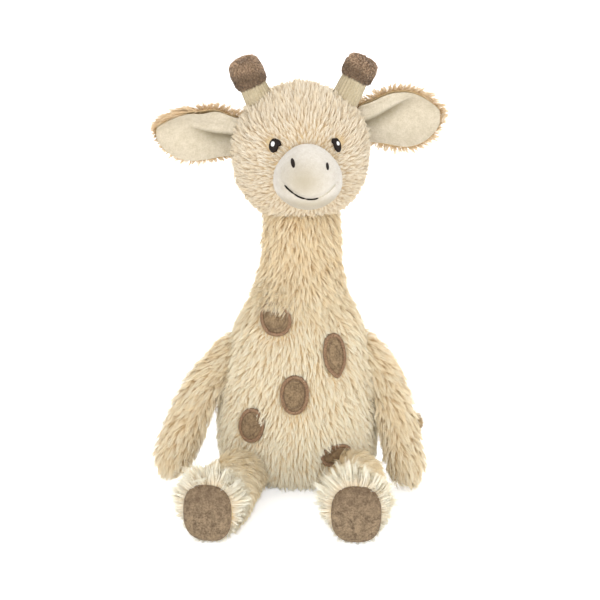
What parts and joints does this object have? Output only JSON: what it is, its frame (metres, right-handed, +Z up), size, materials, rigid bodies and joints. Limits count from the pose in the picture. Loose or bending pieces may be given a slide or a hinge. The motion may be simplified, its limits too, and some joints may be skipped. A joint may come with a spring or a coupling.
{
  "type": "plush giraffe",
  "caption": "Sitting plush giraffe with a long neck, velour muzzle, cupped ears, brown-tipped horns, brown patches, hanging arms, forward legs with brown soles and a tufted tail.",
  "frame": {"origin": "middle of the flat seat, on the floor", "axes": "+Z up; the giraffe faces -Y; its left side is +X"},
  "size_m": [0.1925, 0.2038, 0.2892],
  "materials": {
    "cream_plush": "long cream pile, clumped",
    "pale_velour": "short-pile pale velour",
    "horn_velour": "short-pile sandy velour",
    "brown_velour": "short-pile brown velour",
    "sole_velour": "short-pile brown velour, a little rosier",
    "dark_thread": "dark brown embroidery thread",
    "white_thread": "white embroidery thread",
    "brown_pile": "long brown pile",
    "polyester_fibre": "loose white fibre",
    "calico_bag": "plain woven cotton"
  },
  "bodies": {
    "torso": {"torso_cover": "cream_plush", "torso_filling": "polyester_fibre", "bean_bag": "calico_bag", "front_patch_1": "brown_velour", "front_patch_2": "brown_velour", "front_patch_3": "brown_velour", "front_patch_4": "brown_velour", "front_patch_5": "brown_velour", "back_patch_1": "brown_velour", "back_patch_2": "brown_velour", "back_patch_3": "brown_velour"},
    "neck": {"neck_cover": "cream_plush", "neck_filling": "polyester_fibre"},
    "head": {"head_cover": "cream_plush", "head_filling": "polyester_fibre", "muzzle_cover": "pale_velour", "muzzle_filling": "polyester_fibre", "eye_right": "dark_thread", "eye_left": "dark_thread", "eye_glint_right": "white_thread", "eye_glint_left": "white_thread", "nostril_right": "dark_thread", "nostril_left": "dark_thread", "mouth_thread": "dark_thread", "horn_stem_right": "horn_velour", "horn_tip_right": "brown_velour", "horn_filling_right": "polyester_fibre", "horn_stem_left": "horn_velour", "horn_tip_left": "brown_velour", "horn_filling_left": "polyester_fibre"},
    "ear_right": {"ear_back_right": "cream_plush", "ear_lining_right": "pale_velour"},
    "arm_right": {"arm_cover_right": "cream_plush", "arm_filling_right": "polyester_fibre"},
    "leg_right": {"leg_cover_right": "cream_plush", "leg_filling_right": "polyester_fibre", "sole_right": "sole_velour"},
    "ear_left": {"ear_back_left": "cream_plush", "ear_lining_left": "pale_velour"},
    "arm_left": {"arm_cover_left": "cream_plush", "arm_filling_left": "polyester_fibre"},
    "leg_left": {"leg_cover_left": "cream_plush", "leg_filling_left": "polyester_fibre", "sole_left": "sole_velour"},
    "tail": {"tail_cord": "cream_plush", "tail_tuft": "brown_pile"}
  },
  "joints": [
    {"name": "neck_bend", "type": "hinge", "parent": "torso", "child": "neck", "pos_m": [0, 0, 0.132], "axis": [1, 0, 0], "range_deg": [-20, 20], "stiffness_Nm_per_rad": 1},
    {"name": "head_turn", "type": "hinge", "parent": "neck", "child": "head", "pos_m": [0, 0, 0.1836], "axis": [0, 0, 1], "range_deg": [-50, 50], "stiffness_Nm_per_rad": 0.2},
    {"name": "ear_right_flap", "type": "hinge", "parent": "head", "child": "ear_right", "pos_m": [-0.03785, -0.00331, 0.2356], "axis": [-0.0872, 0.9962, 0], "range_deg": [-15, 15], "stiffness_Nm_per_rad": 0.15},
    {"name": "ear_left_flap", "type": "hinge", "parent": "head", "child": "ear_left", "pos_m": [0.03716, 0.01128, 0.242], "axis": [-0.0872, 0.9962, 0], "range_deg": [-15, 15], "stiffness_Nm_per_rad": 0.15},
    {"name": "arm_right_swing", "type": "hinge", "parent": "torso", "child": "arm_right", "pos_m": [-0.043, 0, 0.088], "axis": [1, 0, 0], "range_deg": [-100, 60], "stiffness_Nm_per_rad": 0.06},
    {"name": "arm_left_swing", "type": "hinge", "parent": "torso", "child": "arm_left", "pos_m": [0.043, 0, 0.088], "axis": [1, 0, 0], "range_deg": [-100, 60], "stiffness_Nm_per_rad": 0.06},
    {"name": "leg_right_lift", "type": "hinge", "parent": "torso", "child": "leg_right", "pos_m": [-0.038, -0.038, 0.0155], "axis": [1, 0, 0], "range_deg": [-20, 0]},
    {"name": "leg_left_lift", "type": "hinge", "parent": "torso", "child": "leg_left", "pos_m": [0.037, -0.038, 0.0155], "axis": [1, 0, 0], "range_deg": [-20, 0]},
    {"name": "tail_swing", "type": "hinge", "parent": "torso", "child": "tail", "pos_m": [0, 0.047, 0.026], "axis": [0, 0, 1], "range_deg": [0, 60]}
  ]
}
